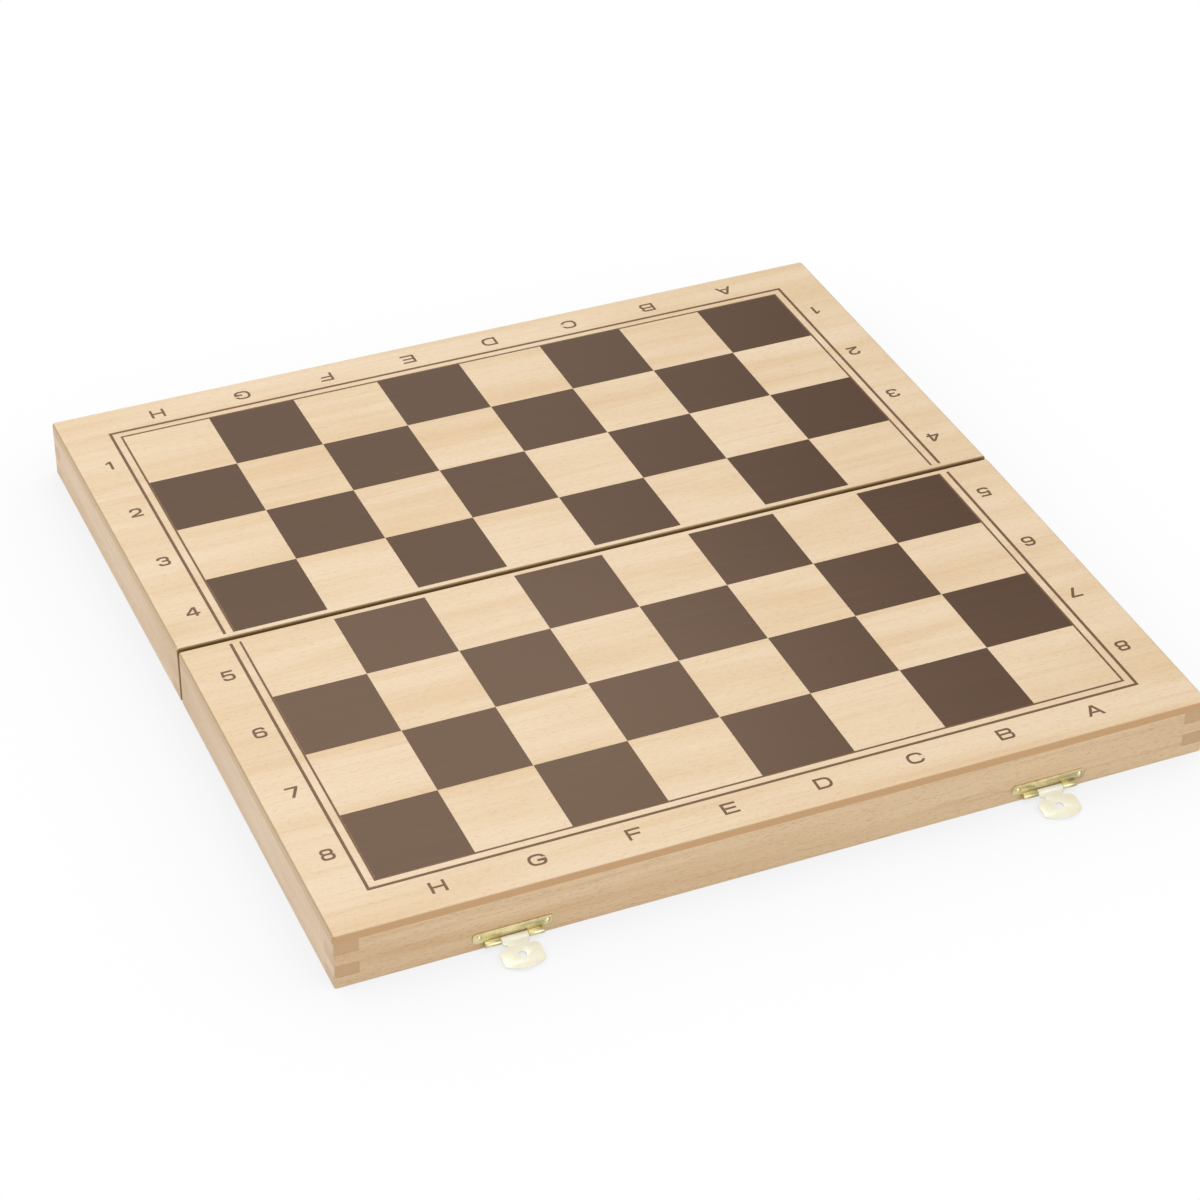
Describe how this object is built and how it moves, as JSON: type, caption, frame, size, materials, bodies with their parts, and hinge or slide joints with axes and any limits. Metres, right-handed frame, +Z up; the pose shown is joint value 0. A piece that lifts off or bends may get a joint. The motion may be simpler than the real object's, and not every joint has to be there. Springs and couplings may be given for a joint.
{
  "type": "folding chess board",
  "caption": "Folding chess board: finger-jointed wooden trays hinged at the seam, with a printed checkered field and brass hasp clasps that hold it shut as a case.",
  "frame": {"origin": "on the table, under the middle of the open board's footprint, from the tips of the tongues to the knobs of the catches; the seam and its hinge axis lie 7.1 mm behind it", "axes": "+X along the seam to the right, +Y from the clasps at the front to the back edge, +Z up out of the playing field, from which each half falls away by half a degree"},
  "size_m": [0.3532, 0.3766, 0.0265],
  "materials": {
    "panel_beech": "clear satin varnish over pale beech veneer",
    "wall_beech": "clear satin varnish over solid beech",
    "print_lacquer": "gloss dark brown printed lacquer",
    "clasp_brass": "bright pale brass plate",
    "hinge_brass": "satin brass plate",
    "fastener_brass": "bright brass plate"
  },
  "bodies": {
    "back_half": {"back_panel": "panel_beech", "back_outer_wall": "wall_beech", "back_left_wall": "wall_beech", "back_right_wall": "wall_beech", "back_seam_wall": "wall_beech", "back_dark_squares": "print_lacquer", "back_frame_lines": "print_lacquer", "back_left_hinge_leaf": "hinge_brass", "back_right_hinge_leaf": "hinge_brass", "left_hinge_pin": "hinge_brass", "right_hinge_pin": "hinge_brass", "back_hinge_screws": "fastener_brass", "left_catch_plate": "clasp_brass", "right_catch_plate": "clasp_brass", "catch_nails": "fastener_brass"},
    "front_half": {"front_panel": "panel_beech", "front_outer_wall": "wall_beech", "front_left_wall": "wall_beech", "front_right_wall": "wall_beech", "front_seam_wall": "wall_beech", "front_dark_squares": "print_lacquer", "front_frame_lines": "print_lacquer", "front_left_hinge_leaf": "hinge_brass", "front_right_hinge_leaf": "hinge_brass", "front_hinge_screws": "fastener_brass", "left_clasp_plate": "clasp_brass", "right_clasp_plate": "clasp_brass", "left_clasp_pin": "clasp_brass", "right_clasp_pin": "clasp_brass", "clasp_nails": "fastener_brass"},
    "left_clasp_tongue": {"left_clasp_tongue": "clasp_brass"},
    "right_clasp_tongue": {"right_clasp_tongue": "clasp_brass"}
  },
  "joints": [
    {"name": "board_fold", "type": "hinge", "parent": "back_half", "child": "front_half", "pos_m": [0, 0.00708, 0.0016], "axis": [1, 0, 0], "range_deg": [-1.03, 178.97]},
    {"name": "left_clasp_swing", "type": "hinge", "parent": "front_half", "child": "left_clasp_tongue", "pos_m": [-0.109, -0.17304, 0.00298], "axis": [1, 0, 0], "range_deg": [-84.1, 78.4]},
    {"name": "right_clasp_swing", "type": "hinge", "parent": "front_half", "child": "right_clasp_tongue", "pos_m": [0.109, -0.17304, 0.00298], "axis": [1, 0, 0], "range_deg": [-84.1, 78.4]}
  ]
}
